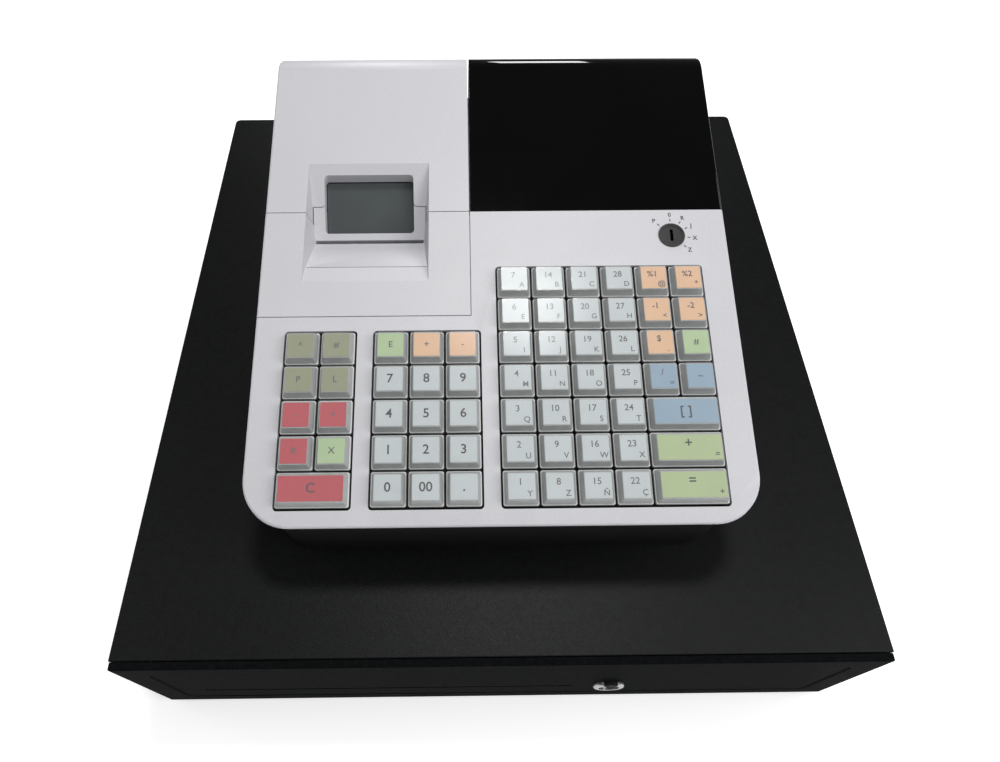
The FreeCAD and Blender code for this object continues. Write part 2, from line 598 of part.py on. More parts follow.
def make_mode_lock_plug():
    plug = cylinder(6.0, V(MODE_X, MODE_S, -22), V(MODE_X, MODE_S, 0.3))
    keyway = box((MODE_X - 0.9, MODE_X + 0.9), (MODE_S - 3.6, MODE_S + 3.6), (-9, 1))
    cam = box((MODE_X - 3, MODE_X + 11), (MODE_S - 3, MODE_S + 3), (-24, -22))
    return on_deck(fuse([plug, cam]).cut(keyway))


def make_housing_screws():
    """Four screws up through the drawer case's roof into the base's bosses."""
    screws = []
    for x, y, _ in SCREWS:
        head = cylinder(3.5, V(x, y, CASE_TOP_Z - SHEET - 2), V(x, y, CASE_TOP_Z - SHEET))
        shank = cylinder(SCREW_R, V(x, y, CASE_TOP_Z - SHEET), V(x, y, CASE_TOP_Z + 14))
        screws.append(fuse([head, shank]))
    return Part.makeCompound(screws)


# ---------------------------------------------------------------- drawer case
def make_case_cover():
    half = CASE_W / 2
    outer = rounded_prism((-half, half), (CASE_FRONT_Y, CASE_BACK_Y), (FOOT_H, CASE_TOP_Z), (0.6, 4.0))
    top_edges = [e for e in outer.Edges if all(abs(v.Z - CASE_TOP_Z) < 0.01 for v in e.Vertexes)]
    outer = outer.makeFillet(CASE_EDGE_R, top_edges)
    inner = box((-half + SHEET, half - SHEET), (CASE_FRONT_Y - 5, CASE_BACK_Y - SHEET),
                (FOOT_H - 1, CASE_TOP_Z - SHEET))
    shank_holes = [cylinder(SCREW_R, V(x, y, 90), V(x, y, 110)) for x, y, _ in SCREWS]
    keep = rounded_prism((-half + SHEET, half - SHEET), (CASE_FRONT_Y - 5, CASE_BACK_Y - SHEET),
                         (FOOT_H - 1, CASE_TOP_Z - SHEET), (0.6, 2.8))
    return outer.cut(inner.common(keep)).cut(shank_holes)


def make_case_floor():
    x = CASE_W / 2 - SHEET - 0.1
    plate = box((-x, x), (CASE_FRONT_Y + 0.5, CASE_BACK_Y - SHEET - 0.1), (FOOT_H, FOOT_H + SHEET))
    corners = rounded_prism((-x, x), (CASE_FRONT_Y, CASE_BACK_Y - SHEET - 0.1),
                            (FOOT_H - 1, FOOT_H + 30), (0.6, 2.8))
    sides = [box((s * x - (SHEET if s > 0 else 0), s * x + (SHEET if s < 0 else 0)),
                 (CASE_FRONT_Y + 0.5, CASE_BACK_Y - 12), (FOOT_H, FOOT_H + 14)) for s in (-1, 1)]
    return fuse([plate] + sides).common(corners)


def make_rubber_feet():
    feet = []
    for x in (-172, 172):
        for y in (-176, 186):
            foot = Part.makeCone(10.5, 12, FOOT_H, V(x, y, 0), AXIS_Z)
            feet.append(foot.cut(cylinder(4, V(x, y, -1), V(x, y, 2))))
    return Part.makeCompound(feet)


def make_outer_rails():
    x_out = CASE_W / 2 - SHEET - 0.1
    y = (CASE_FRONT_Y + 6, 184.0)
    outer = box((BOX_HALF_W + 1.0, x_out), y, (RAIL_Z - RAIL_H / 2, RAIL_Z + RAIL_H / 2))
    inner = box((BOX_HALF_W - 1.0, x_out - SHEET), (y[0] - 1, y[1] + 1),
                (RAIL_Z - RAIL_H / 2 + SHEET, RAIL_Z + RAIL_H / 2 - SHEET))
    rail = outer.cut(inner)
    return Part.makeCompound([rail, mirror_x(rail)])


def inner_rail_half_height():
    return RAIL_H / 2 - SHEET - 2 * BALL_R - 0.4


def make_inner_rails():
    half = inner_rail_half_height()
    y = (CASE_FRONT_Y + 6, BOX_BACK_Y - 5)
    outer = box((BOX_HALF_W, 200.5), y, (RAIL_Z - half, RAIL_Z + half))
    inner = box((BOX_HALF_W + SHEET, 201.0), (y[0] - 1, y[1] + 1),
                (RAIL_Z - half + SHEET, RAIL_Z + half - SHEET))
    rail = outer.cut(inner)
    return Part.makeCompound([rail, mirror_x(rail)])


def make_ball_cages():
    """Strips of balls above and below each inner rail."""
    level = inner_rail_half_height() + 0.2 + BALL_R
    ball_ys = [-50 + 16 * i for i in range(6)]
    solids = []
    for side in (1, -1):
        for z in (RAIL_Z - level, RAIL_Z + level):
            ends = sorted((side * 193.0, side * 200.6))
            strip = box(ends, (ball_ys[0] - 8, ball_ys[-1] + 8), (z - 0.4, z + 0.4))
            x = side * 197.0
            strip = strip.cut([cylinder(BALL_R + 0.15, V(x, y, z - 3), V(x, y, z + 3)) for y in ball_ys])
            solids.append(strip)
            solids += [Part.makeSphere(BALL_R, V(x, y, z)) for y in ball_ys]
    return Part.makeCompound(solids)


# ---------------------------------------------------------------- drawer
def lock_hole():
    return cylinder(8.0, V(LOCK_X, PANEL_FACE_Y - 5, LOCK_Z), V(LOCK_X, CASE_FRONT_Y + 5, LOCK_Z))


def media_slot():
    return box((-172.5, 43.8), (PANEL_FACE_Y - 5, CASE_FRONT_Y + 5), (38.2, 41.0))


def make_drawer_front_panel():
    half = PANEL_HALF_W
    back = PANEL_FACE_Y + PANEL_THICK
    panel = box((-half, half), (PANEL_FACE_Y, back), (FOOT_H + 0.4, CASE_TOP_Z - 0.5))
    front_edges = [e for e in panel.Edges if all(abs(v.Y - PANEL_FACE_Y) < 0.01 for v in e.Vertexes)]
    panel = panel.makeFillet(PANEL_EDGE_R, front_edges)
    ring_z = (17.0, 86.6)
    turn = FreeCAD.Placement(V(0, 0, 0), FreeCAD.Rotation(AXIS_X, 90))

    def plate(grow):
        flat = rounded_prism((-190 + grow, 190 - grow), (ring_z[0] + grow, ring_z[1] - grow),
                             (0, 10), (6 - grow, 6 - grow))
        flat.Placement = turn
        flat.translate(V(0, PANEL_FACE_Y + GROOVE_DEPTH, 0))
        return flat

    run_x = 190 - GROOVE_WIDTH
    top_run = box((-run_x, run_x), (PANEL_FACE_Y - 20, back), (ring_z[1] - 10, CASE_TOP_Z))
    groove = plate(0).cut([plate(GROOVE_WIDTH), top_run])
    return panel.cut([groove, lock_hole(), media_slot()])


def make_drawer_box():
    y = (PANEL_FACE_Y + PANEL_THICK, BOX_BACK_Y)
    wall_z, front_z = 80.0, 92.0
    w = BOX_HALF_W
    outer = box((-w, w), y, (BOX_FLOOR_Z, wall_z))
    inner = box((-w + SHEET, w - SHEET), (y[0] + SHEET, y[1] - SHEET), (BOX_FLOOR_Z + SHEET, front_z + 5))
    front = box((-w, w), (y[0], y[0] + SHEET), (BOX_FLOOR_Z, front_z))
    strike = [box((-12, 12), (y[1], y[1] + 9), (40, 41.2)),
              box((-12, 12), (y[1] + 7.8, y[1] + 9), (40, 45.6))]
    return fuse([outer.cut(inner), front] + strike).cut([lock_hole(), media_slot()])


def make_drawer_lock_bezel():
    ring = tube(LOCK_R, 6.0 + RUNNING, V(LOCK_X, LOCK_FACE_Y, LOCK_Z), V(LOCK_X, PANEL_FACE_Y, LOCK_Z))
    rims = [e for e in ring.Edges if all(abs(v.Y - LOCK_FACE_Y) < 0.01 for v in e.Vertexes)
            and e.Length > 2 * math.pi * 8]
    ring = ring.makeFillet(1.5, rims)
    barrel = tube(7.95, 6.0 + RUNNING, V(LOCK_X, PANEL_FACE_Y, LOCK_Z), V(LOCK_X, -196, LOCK_Z))
    sheet_y = PANEL_FACE_Y + PANEL_THICK + SHEET
    nut = tube(10.5, 7.9, V(LOCK_X, sheet_y, LOCK_Z), V(LOCK_X, sheet_y + 3, LOCK_Z))
    return fuse([ring, barrel, nut])


def make_drawer_lock_plug():
    plug = cylinder(6.0, V(LOCK_X, LOCK_FACE_Y + 1.2, LOCK_Z), V(LOCK_X, -195.6, LOCK_Z))
    keyway = box((LOCK_X - 0.9, LOCK_X + 0.9), (LOCK_FACE_Y - 1, LOCK_FACE_Y + 12),
                 (LOCK_Z - 3.6, LOCK_Z + 3.6))
    cam = box((LOCK_X - 5, LOCK_X + 5), (-195.6, -193.6), (LOCK_Z - 5, LOCK_Z + 20))
    return fuse([plug, cam]).cut(keyway)


def well_spans():
    """X span of each column of wells inside the trays."""
    width = (2 * 188.0 - (WELLS + 1) * WELL_GAP) / WELLS
    starts = [-188.0 + WELL_GAP + i * (width + WELL_GAP) for i in range(WELLS)]
    return [(x, x + width) for x in starts]


def make_till_tray():
    """Note wells at the back of the drawer."""
    tray = box((-188, 188), (-18, 172), (TRAY_BOTTOM_Z, TRAY_TOP_Z))
    well_z = (TRAY_BOTTOM_Z + 2.5, TRAY_TOP_Z + 5)
    wells = [rounded_prism(x, (-15, 169), well_z, (4, 4)) for x in well_spans()]
    tray = tray.cut(wells)
    for x0, x1 in well_spans():
        tray = tray.cut(cylinder(1.5 + RUNNING, V(x0 - 1.2, CLIP_PIVOT_Y, CLIP_PIVOT_Z),
                                 V(x1 + 1.2, CLIP_PIVOT_Y, CLIP_PIVOT_Z)))
    return tray


def make_coin_tray():
    """Two rows of round-bottomed coin cups, thin-walled, with a rim and a skirt."""
    front_y, back_y = -191.0, -20.0
    wall = 2.2
    length = (back_y - front_y - 3 * WELL_GAP) / 2
    starts = [front_y + WELL_GAP + i * (length + WELL_GAP) for i in range(2)]
    rows = [(start, start + length) for start in starts]
    radius = length / 2
    centre_z = TRAY_TOP_Z - 48 + radius
    rim = box((-188, 188), (front_y, back_y), (TRAY_TOP_Z - 2.5, TRAY_TOP_Z))
    outer = box((-188, 188), (front_y, back_y), (TRAY_BOTTOM_Z, TRAY_TOP_Z))
    skirt = outer.cut(box((-188 + wall, 188 - wall), (front_y + wall, back_y - wall), (0, TRAY_TOP_Z + 1)))
    cups, hollows = [], []
    for x0, x1 in well_spans():
        for y0, y1 in rows:
            middle = (y0 + y1) / 2
            for target, grow in ((cups, wall), (hollows, 0.0)):
                x = (x0 - grow, x1 + grow)
                trough = cylinder(radius + grow, V(x[0], middle, centre_z), V(x[1], middle, centre_z))
                above = box(x, (y0 - grow, y1 + grow), (centre_z, TRAY_TOP_Z + 10))
                target.append(trough.fuse(above))
    solid = fuse([rim, skirt] + cups).common(outer)
    return solid.cut(hollows)


def make_bill_clip(span):
    """Sprung note clip: a pin across the well, an arm that droops to the notes, a curled tip."""
    pivot = V(0, CLIP_PIVOT_Y, CLIP_PIVOT_Z)
    pin = cylinder(1.5, V(span[0] - 1.0, pivot.y, pivot.z), V(span[1] + 1.0, pivot.y, pivot.z))
    middle = (span[0] + span[1]) / 2
    arm = box((middle - 30, middle + 30), (-CLIP_LENGTH, 0), (-0.5, 0.7))
    arm = arm.cut(rounded_prism((middle - 22, middle + 22), (-CLIP_LENGTH + 10, -12), (-3, 3), (5, 5)))
    tip = tube(3.0, 1.8, V(middle - 30, -CLIP_LENGTH, 2.5), V(middle + 30, -CLIP_LENGTH, 2.5))
    tip = tip.common(box((-300, 300), (-CLIP_LENGTH - 5, -CLIP_LENGTH), (-3, 8)))
    clip = fuse([arm, tip])
    clip.rotate(V(0, 0, 0), AXIS_X, CLIP_DROOP)
    clip.translate(V(0, pivot.y, pivot.z))
    return fuse([clip, pin])


# ---------------------------------------------------------------- latch
LATCH_Y, LATCH_Z = 206.0, 52.0


def make_latch_solenoid():
    coil = box((-16, 16), (188, 216), (FOOT_H + SHEET, 32))
    ears = [box(x, (200, 212), (32, 57)) for x in ((-8, -5), (5, 8))]
    pin = cylinder(2.0, V(-8, LATCH_Y, LATCH_Z), V(8, LATCH_Y, LATCH_Z))
    plunger = cylinder(3.0, V(0, 194, 32), V(0, 194, 44))
    return fuse([coil] + ears + [pin, plunger])


def make_latch_lever():
    arm = box((-4, 4), (177.5, LATCH_Y + 4), (49, 55))
    tooth = box((-4, 4), (177.5, 180.8), (46.8, 50))
    hole = cylinder(2.0 + RUNNING, V(-10, LATCH_Y, LATCH_Z), V(10, LATCH_Y, LATCH_Z))
    return fuse([arm, tooth]).cut(hole)


# ---------------------------------------------------------------- all sub-parts
def make_parts():
    parts = {
        "case_cover": make_case_cover(),
        "case_floor": make_case_floor(),
        "rubber_feet": make_rubber_feet(),
        "outer_rails": make_outer_rails(),
        "inner_rails": make_inner_rails(),
        "ball_cages": make_ball_cages(),
        "drawer_box": make_drawer_box(),
        "drawer_front_panel": make_drawer_front_panel(),
        "drawer_lock_bezel": make_drawer_lock_bezel(),
        "drawer_lock_plug": make_drawer_lock_plug(),
        "till_tray": make_till_tray(),
        "coin_tray": make_coin_tray(),
        "latch_solenoid": make_latch_solenoid(),
        "latch_lever": make_latch_lever(),
        "housing_screws": make_housing_screws(),
        "base_housing": make_base_housing(),
        "main_board": make_main_board(),
        "power_supply": make_power_supply(),
        "power_inlet": make_power_inlet(),
        "keyboard_plate": make_keyboard_plate(),
        "top_cover": make_top_cover(),
        "printer_cover": make_printer_cover(),
        "paper_lid": make_paper_lid(),
        "paper_window": make_paper_window(),
        "tear_blade": make_tear_blade(),
        "printer_frame": make_printer_frame(),
        "platen_roller": make_platen_roller(),
        "paper_roll": make_paper_roll(),
        "paper_web": make_paper_web(),
        "display_window": make_display_window(),
        "display_boards": make_display_boards(),
        "mode_lock_collar": make_mode_lock_collar(),
        "mode_lock_plug": make_mode_lock_plug(),
    }
    for number, span in enumerate(well_spans(), start=1):
        parts["bill_clip_%d" % number] = make_bill_clip(span)
    parts.update(make_keys())
    return parts


def main():
    os.makedirs("parts", exist_ok=True)
    for name, shape in make_parts().items():
        if not shape.isValid():
            raise ValueError("invalid shape: " + name)
        shape.exportStep("parts/" + name + ".step")
        print(name, len(shape.Solids), round(shape.Volume / 1000, 2), "cm3")


main()
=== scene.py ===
import json
import math

import bmesh
import bpy
from mathutils import Euler, Matrix, Vector


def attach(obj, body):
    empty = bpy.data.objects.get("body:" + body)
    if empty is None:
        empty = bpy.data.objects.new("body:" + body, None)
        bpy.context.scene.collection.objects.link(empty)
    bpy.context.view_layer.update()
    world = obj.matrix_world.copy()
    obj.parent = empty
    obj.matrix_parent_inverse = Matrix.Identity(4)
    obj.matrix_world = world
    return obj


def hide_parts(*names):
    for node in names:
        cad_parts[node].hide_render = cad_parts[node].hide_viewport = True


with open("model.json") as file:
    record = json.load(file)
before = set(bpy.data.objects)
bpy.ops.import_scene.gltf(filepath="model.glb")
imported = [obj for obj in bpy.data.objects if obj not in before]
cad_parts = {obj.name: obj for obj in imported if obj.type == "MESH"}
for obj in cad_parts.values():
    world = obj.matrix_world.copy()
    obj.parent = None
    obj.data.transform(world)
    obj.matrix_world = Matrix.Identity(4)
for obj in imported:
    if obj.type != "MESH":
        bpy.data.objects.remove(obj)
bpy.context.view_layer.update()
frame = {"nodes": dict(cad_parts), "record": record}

NODES = frame["nodes"]
MM = 0.001

# Keyboard deck: (x, distance up the deck, height over it), in millimetres.
DECK = Matrix.Translation((0, -0.1585, 0.1544)) @ Matrix.Rotation(math.radians(13.25), 4, "X")
PITCH = 19.05
FRONT_ROW = 18.5
LEFT = (-11, -9)
MIDDLE = (-6, -4, -2)
RIGHT = (1, 3, 5, 7, 9, 11)
MODE_X, MODE_S = 100.0, 161.9


def deck(x, s, n):
    return DECK @ Vector((x * MM, s * MM, n * MM))


def rgb(r, g, b):
    """sRGB 0-255 to linear."""
    def one(c):
        c = c / 255
        return c / 12.92 if c <= 0.04045 else ((c + 0.055) / 1.055) ** 2.4
    return one(r), one(g), one(b)


# ------------------------------------------------------------------ materials
def surface(name, colour, rough, metallic=0.0, coat=0.0, vary=0.05, vary_scale=35.0,
            grain=0.0, grain_scale=1500.0, rough_vary=0.06, stretch=(1, 1, 1), alpha=1.0,
            specular=0.5, subsurface=0.0, glow=0.0, speckle=0.0):
    """Procedural finish: mottled and speckled colour, uneven roughness and a fine bump."""
    material = bpy.data.materials.new(name)
    material.use_nodes = True
    nodes, links = material.node_tree.nodes, material.node_tree.links
    shader = nodes["Principled BSDF"]
    shader.inputs["Metallic"].default_value = metallic
    shader.inputs["Coat Weight"].default_value = coat
    shader.inputs["Coat Roughness"].default_value = 0.06
    shader.inputs["Alpha"].default_value = alpha
    shader.inputs["Specular IOR Level"].default_value = specular
    shader.inputs["Subsurface Weight"].default_value = subsurface
    shader.inputs["Emission Color"].default_value = (1, 1, 1, 1)
    shader.inputs["Emission Strength"].default_value = glow
    shader.inputs["Subsurface Radius"].default_value = (0.002, 0.002, 0.002)
    place = nodes.new("ShaderNodeTexCoord")
    mapping = nodes.new("ShaderNodeMapping")
    mapping.inputs["Scale"].default_value = stretch
    links.new(place.outputs["Object"], mapping.inputs["Vector"])

    def noise(scale, detail):
        node = nodes.new("ShaderNodeTexNoise")
        node.inputs["Scale"].default_value = scale
        node.inputs["Detail"].default_value = detail
        links.new(mapping.outputs["Vector"], node.inputs["Vector"])
        return node

    mottle = noise(vary_scale, 6.0)
    ramp = nodes.new("ShaderNodeValToRGB")
    ramp.color_ramp.elements[0].position = 0.3
    ramp.color_ramp.elements[1].position = 0.7
    ramp.color_ramp.elements[0].color = tuple(c * (1 - vary) for c in colour) + (1,)
    ramp.color_ramp.elements[1].color = tuple(min(1, c * (1 + vary)) for c in colour) + (1,)
    links.new(mottle.outputs["Fac"], ramp.inputs["Fac"])
    if speckle:
        dots = noise(grain_scale * 0.7, 2.0)
        depth = nodes.new("ShaderNodeMapRange")
        depth.inputs["From Min"].default_value = 0.3
        depth.inputs["From Max"].default_value = 0.7
        depth.inputs["To Min"].default_value = 1 - speckle
        depth.inputs["To Max"].default_value = 1 + speckle
        tint = nodes.new("ShaderNodeVectorMath")
        tint.operation = "SCALE"
        links.new(dots.outputs["Fac"], depth.inputs["Value"])
        links.new(ramp.outputs["Color"], tint.inputs["Vector"])
        links.new(depth.outputs["Result"], tint.inputs["Scale"])
        links.new(tint.outputs["Vector"], shader.inputs["Base Color"])
    else:
        links.new(ramp.outputs["Color"], shader.inputs["Base Color"])
    smear = noise(vary_scale * 2.3, 4.0)
    spread = nodes.new("ShaderNodeMapRange")
    spread.inputs["To Min"].default_value = max(0.02, rough - rough_vary)
    spread.inputs["To Max"].default_value = min(1.0, rough + rough_vary)
    links.new(smear.outputs["Fac"], spread.inputs["Value"])
    links.new(spread.outputs["Result"], shader.inputs["Roughness"])
    if grain:
        fine = noise(grain_scale, 2.0)
        bump = nodes.new("ShaderNodeBump")
        bump.inputs["Strength"].default_value = grain
        bump.inputs["Distance"].default_value = 0.0002
        links.new(fine.outputs["Fac"], bump.inputs["Height"])
        links.new(bump.outputs["Normal"], shader.inputs["Normal"])
    return material


SILVER = surface("silver_paint", rgb(203, 203, 207), 0.42, vary=0.02, vary_scale=14,
                 grain=0.12, grain_scale=2600, specular=0.45, speckle=0.05)
POWDER = surface("black_powder_coat", rgb(17, 18, 19), 0.42, specular=0.13, vary=0.18, vary_scale=260,
                 grain=0.5, grain_scale=1300, rough_vary=0.07, speckle=0.3)
PANEL = surface("black_panel_coat", rgb(17, 18, 19), 0.5, specular=0.0015, vary=0.16, vary_scale=260,
                grain=0.5, grain_scale=1400, rough_vary=0.1, speckle=0.3)
GLOSS = surface("black_acrylic", rgb(6, 6, 7), 0.06, vary=0.2, vary_scale=20, rough_vary=0.03,
                specular=0.17, coat=0.12)
BASE = surface("charcoal_plastic", rgb(20, 20, 22), 0.6, specular=0.3, vary=0.08, grain=0.4, grain_scale=1800)
RUBBER = surface("rubber", rgb(28, 28, 28), 0.85, vary=0.12, vary_scale=120, grain=0.4)
ZINC = surface("zinc_steel", rgb(190, 194, 200), 0.34, metallic=1, vary=0.12, vary_scale=60,
               grain=0.06, stretch=(1, 0.15, 1))
STEEL = surface("satin_steel", rgb(176, 178, 182), 0.3, metallic=1, vary=0.08, vary_scale=220,
                stretch=(0.08, 1, 1), grain=0.05)
TRAY = surface("tray_plastic", rgb(52, 52, 55), 0.55, vary=0.07, grain=0.45, grain_scale=1500)
WINDING = surface("varnished_winding", rgb(92, 66, 40), 0.5, vary=0.25, vary_scale=150, grain=0.3)
BOARD = surface("solder_mask", rgb(26, 92, 58), 0.38, vary=0.15, vary_scale=180, grain=0.1)
PAPER = surface("paper", rgb(236, 236, 231), 0.85, vary=0.03, vary_scale=90, grain=0.2)
SMOKED = surface("smoked_acrylic", rgb(84, 89, 90), 0.12, vary=0.06, coat=0.3, alpha=0.95)
# Painted shade: black finish laid on the drawer's groove, slot and lock hole, on the top of the lock ring and
# along the edge of the paper window
SHADE_BLACK = surface("painted_shade_black", rgb(12, 12, 13), 0.7, vary=0.2, vary_scale=200, grain=0.3,
                 specular=0.2)
RING = surface("satin_chrome", rgb(172, 170, 172), 0.3, metallic=1, vary=0.06, rough_vary=0.06)
LOCK = surface("lock_black", rgb(22, 22, 24), 0.3, vary=0.12, rough_vary=0.08, coat=0.3)
CAP = surface("clear_cap", rgb(208, 209, 208), 0.16, vary=0.03, alpha=0.2, specular=0.6)
CORE = surface("cap_core", rgb(172, 175, 175), 0.34, vary=0.1, vary_scale=160, coat=0.3,
               subsurface=0.1)
# Painted highlight: lighter band round the base of each key's core, standing in for light caught in the clear
# cap's edge
RIM_HIGHLIGHT = surface("cap_rim_painted_highlight", rgb(232, 233, 232), 0.25, vary=0.05, vary_scale=200, coat=0.3)
INK_LIGHT = surface("printed_ink_light", rgb(104, 108, 110), 0.6, vary=0.1, vary_scale=400,
                    specular=0.1)
INK = surface("printed_ink", rgb(78, 80, 84), 0.6, vary=0.12, vary_scale=400, specular=0.1)
INK_DARK = surface("printed_ink_dark", rgb(30, 31, 34), 0.6, vary=0.12, vary_scale=400,
                   specular=0.1)
FLOOR = surface("floor", rgb(252, 252, 252), 0.8, vary=0.01, vary_scale=6, specular=0.2, glow=0.45)

LABELS = {
    "white": rgb(203, 211, 213), "olive": rgb(146, 150, 114), "red": rgb(192, 24, 52),
    "green": rgb(178, 197, 143), "light_green": rgb(180, 205, 155),
    "orange": rgb(236, 190, 148), "blue": rgb(142, 170, 192),
}
LABEL_MATERIALS = {name: surface("label_" + name, colour, 0.5, vary=0.025, vary_scale=70, specular=0.3)
                   for name, colour in LABELS.items()}

FINISHES = {
    "case_cover": POWDER, "case_floor": POWDER, "drawer_box": POWDER,
    "drawer_front_panel": PANEL, "rubber_feet": RUBBER, "outer_rails": ZINC,
    "inner_rails": ZINC, "ball_cages": ZINC, "drawer_lock_bezel": RING,
    "drawer_lock_plug": LOCK, "till_tray": TRAY, "coin_tray": TRAY, "latch_solenoid": WINDING,
    "latch_lever": ZINC, "housing_screws": ZINC, "base_housing": BASE, "main_board": BOARD,
    "power_supply": WINDING, "power_inlet": BASE, "keyboard_plate": BASE, "top_cover": SILVER,
    "printer_cover": SILVER, "paper_lid": SILVER, "paper_window": SMOKED,
    "tear_blade": STEEL, "printer_frame": ZINC, "platen_roller": RUBBER, "paper_roll": PAPER,
    "paper_web": PAPER, "display_window": GLOSS, "display_boards": BOARD,
    "mode_lock_collar": LOCK, "mode_lock_plug": LOCK,
    "bill_clip_1": STEEL, "bill_clip_2": STEEL, "bill_clip_3": STEEL, "bill_clip_4": STEEL,
}


def finish_node(name, material):
    node = NODES[name]
    node.data.materials.clear()
    node.data.materials.append(material)


for node_name, node_finish in FINISHES.items():
    finish_node(node_name, node_finish)


def second_finish(name, material, low, high):
    """Gives the faces of a node that lie in a box, in millimetres, another finish."""
    node = NODES[name]
    node.data.materials.append(material)
    for face in node.data.polygons:
        centre = node.matrix_world @ face.center / MM
        if all(a < c < b for a, c, b in zip(low, centre, high)):
            face.material_index = 1


# Painted shade: black over the groove, media slot and lock hole of the drawer's panel and over the top of the
# drawer lock's ring, where shade falls.
second_finish("drawer_front_panel", SHADE_BLACK, (-200, -214, 14), (200, -210.7, 96))
second_finish("drawer_lock_bezel", SHADE_BLACK, (60.6, -217, 46), (68.6, -214, 54))


def soften(name, width):
    """Narrow rounded edges on a CAD node, so that they catch the light."""
    node = NODES[name]
    weld = node.modifiers.new("weld", "WELD")
    weld.merge_threshold = 1e-6
    bevel = node.modifiers.new("bevel", "BEVEL")
    bevel.width = width * MM
    bevel.segments = 2
    bevel.limit_method = "ANGLE"
    bevel.angle_limit = math.radians(40)
    bevel.harden_normals = True


for node_name, edge_width in (("top_cover", 0.25), ("printer_cover", 0.25), ("paper_lid", 0.25),
                              ("display_window", 0.3), ("drawer_front_panel", 0.3),
                              ("case_cover", 0.25), ("base_housing", 0.4)):
    soften(node_name, edge_width)


# ------------------------------------------------------------------ keys
def ring(bm, centre, size, n, radius, steps=4):
    """Rounded rectangle of vertices in the deck's plane."""
    half_x, half_s = size[0] / 2 - radius, size[1] / 2 - radius
    verts = []
    for quarter, (sx, ss) in enumerate(((1, 1), (-1, 1), (-1, -1), (1, -1))):
        for step in range(steps + 1):
            angle = math.radians(90 * quarter + 90 * step / steps)
            x = centre[0] + sx * half_x + radius * math.cos(angle)
            s = centre[1] + ss * half_s + radius * math.sin(angle)
            verts.append(bm.verts.new(deck(x, s, n)))
    return verts


def skin(bm, rings, material=0, bands=None):
    """Joins rings, lowest first, into a closed form; bands gives single bands a finish."""
    count = len(rings[0])
    for band, (low, high) in enumerate(zip(rings, rings[1:])):
        for i in range(count):
            j = (i + 1) % count
            face = bm.faces.new((low[i], low[j], high[j], high[i]))
            face.material_index = (bands or {}).get(band, material)
    bm.faces.new(list(reversed(rings[0]))).material_index = material
    bm.faces.new(rings[-1]).material_index = material


# Sections of a key, lowest first: width, height over the deck, corner radius.
CAP_SECTIONS = ((18.2, -1.5, 1.2), (18.2, 0.4, 1.3), (17.5, 0.9, 1.3), (14.9, 5.3, 1.1),
                (14.5, 5.8, 1.0), (14.0, 6.0, 0.9))
CORE_SECTIONS = ((17.8, -1.4, 1.0), (17.8, 0.15, 1.0), (16.9, 0.5, 1.0), (13.9, 5.2, 0.5))
RIM_HIGHLIGHT_SLOT, FIRST_LABEL_SLOT = 1, 2
LABEL_SIZE, LABEL_N = (13.4, 12.9), (5.25, 5.5)
STEM, STEM_END = 5.0, -12.5

# Printed marks: height of the letters and how far they stand over the label.
MARK_LARGE, MARK_MEDIUM, MARK_SMALL, MARK_LIFT = 6.9, 4.8, 4.2, 0.06


def build_key(bm_core, bm_cap, columns, row, label_index):
    """Adds one key's core, label, stems and cap; a wide key spans two columns."""
    x = sum(c * PITCH / 2 for c in columns) / len(columns)
    s = FRONT_ROW + row * PITCH
    extra = PITCH * (len(columns) - 1)

    def rings(bm, sections):
        return [ring(bm, (x, s), (w + extra, w), n, r) for w, n, r in sections]

    skin(bm_cap, rings(bm_cap, CAP_SECTIONS))
    # The core's second band carries the painted highlight round the key's base
    skin(bm_core, rings(bm_core, CORE_SECTIONS), bands={1: RIM_HIGHLIGHT_SLOT})
    label_size = (LABEL_SIZE[0] + extra, LABEL_SIZE[1])
    skin(bm_core, [ring(bm_core, (x, s), label_size, n, 0.35) for n in LABEL_N], label_index)
    for c in columns:
        stem = [ring(bm_core, (c * PITCH / 2, s), (STEM, STEM), n, 0.4, 2)
                for n in (STEM_END, -1.5)]
        skin(bm_core, stem)
    return x, s


def make_object(name, bm, materials):
    bmesh.ops.recalc_face_normals(bm, faces=bm.faces)
    mesh = bpy.data.meshes.new(name)
    bm.to_mesh(mesh)
    bm.free()
    for material in materials:
        mesh.materials.append(material)
    mesh.shade_smooth()
    mesh.set_sharp_from_angle(angle=math.radians(30))
    piece = bpy.data.objects.new(name, mesh)
    bpy.context.scene.collection.objects.link(piece)
    return piece


def lettering(text, x, s, n, size):
    """Mesh of a short printed mark lying in the deck's plane, centred on (x, s)."""
    curve = bpy.data.curves.new("mark", "FONT")
    curve.body = text
    curve.size = size * MM
    curve.align_x, curve.align_y = "CENTER", "CENTER"
    curve.resolution_u = 3
    curve.offset = 0.012 * size * MM
    holder = bpy.data.objects.new("mark", curve)
    bpy.context.scene.collection.objects.link(holder)
    bpy.context.view_layer.update()
    graph = bpy.context.evaluated_depsgraph_get()
    mesh = bpy.data.meshes.new_from_object(holder.evaluated_get(graph))
    bpy.data.objects.remove(holder)
    mesh.transform(DECK @ Matrix.Translation((x * MM, s * MM, n * MM)))
    return mesh


def join_marks(name, meshes, material, body):
    """One piece from several marks, riding on a body."""
    bm = bmesh.new()
    for mesh in meshes:
        bm.from_mesh(mesh)
        bpy.data.meshes.remove(mesh)
    piece = make_object(name, bm, [material])
    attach(piece, body)
    return piece


LETTERS = "ABCDEFGHIJKLMNOPQRSTUVWXYZÑÇ"


def department_keys(column):
    """Number at the top and a small letter at the lower right, front row last."""
    keys = []
    for row in range(7):
        letter = LETTERS[4 * (6 - row) + column]
        keys.append(((RIGHT[column],), row, "white", str(7 * column + row + 1), letter))
    return keys


